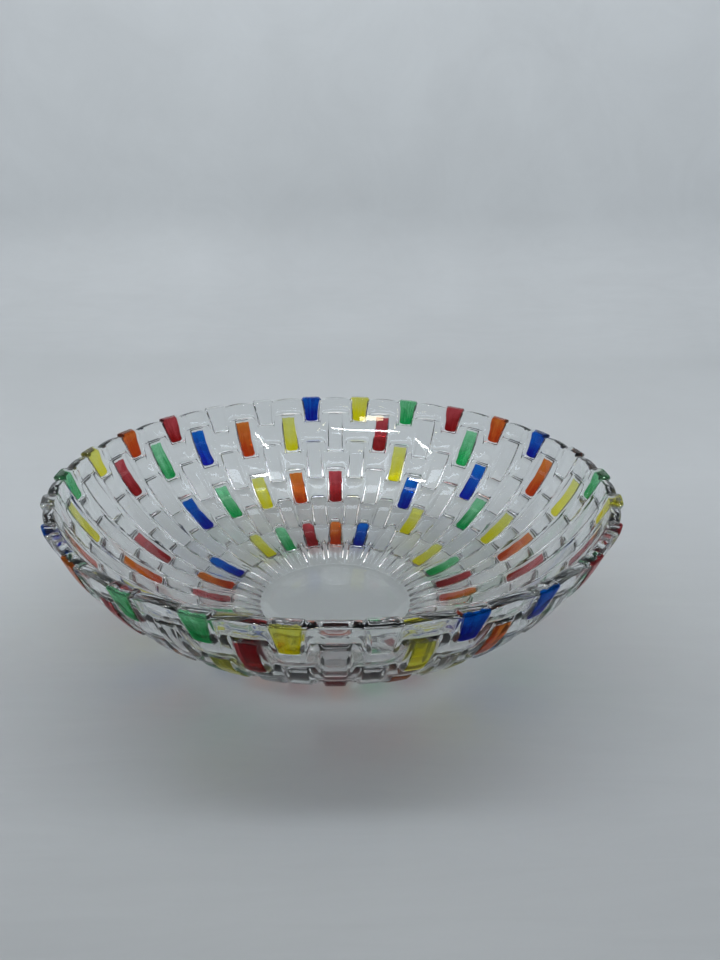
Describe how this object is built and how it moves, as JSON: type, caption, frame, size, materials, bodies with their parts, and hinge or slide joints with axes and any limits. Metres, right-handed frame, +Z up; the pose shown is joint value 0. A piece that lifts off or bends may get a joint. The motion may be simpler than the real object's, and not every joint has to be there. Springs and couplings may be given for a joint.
{
  "type": "bowl",
  "caption": "Round shallow pressed-glass bowl with an outside basket-weave relief, a scalloped rim of strap heads and translucent coloured enamel on chosen straps.",
  "frame": {"origin": "centre of the flat base disc, on the surface the bowl stands on", "axes": "+Z up along the bowl's axis; +Y towards the strap position numbered 0 (the back), +X to the right of it seen from the front"},
  "size_m": [0.3002, 0.2994, 0.085],
  "materials": {
    "clear_glass": "fire-polished pressed clear crystal glass",
    "blue_enamel": "translucent brushed blue enamel, glossy",
    "green_enamel": "translucent brushed green enamel, glossy",
    "red_enamel": "translucent brushed red enamel, glossy",
    "yellow_enamel": "translucent brushed yellow enamel, glossy",
    "orange_enamel": "translucent brushed orange enamel, glossy"
  },
  "bodies": {
    "root": {"glass_bowl": "clear_glass", "rim_blue_enamel": "blue_enamel", "rim_green_enamel": "green_enamel", "rim_red_enamel": "red_enamel", "rim_yellow_enamel": "yellow_enamel", "rim_orange_enamel": "orange_enamel", "tier2_blue_enamel": "blue_enamel", "tier2_green_enamel": "green_enamel", "tier2_red_enamel": "red_enamel", "tier2_yellow_enamel": "yellow_enamel", "tier2_orange_enamel": "orange_enamel", "tier3_blue_enamel": "blue_enamel", "tier3_yellow_enamel": "yellow_enamel", "tier4_blue_enamel": "blue_enamel", "tier4_green_enamel": "green_enamel", "tier4_red_enamel": "red_enamel", "tier4_yellow_enamel": "yellow_enamel", "tier4_orange_enamel": "orange_enamel", "tier5_yellow_enamel": "yellow_enamel", "tier6_blue_enamel": "blue_enamel", "tier6_green_enamel": "green_enamel", "tier6_red_enamel": "red_enamel", "tier6_yellow_enamel": "yellow_enamel", "tier6_orange_enamel": "orange_enamel"}
  },
  "joints": []
}
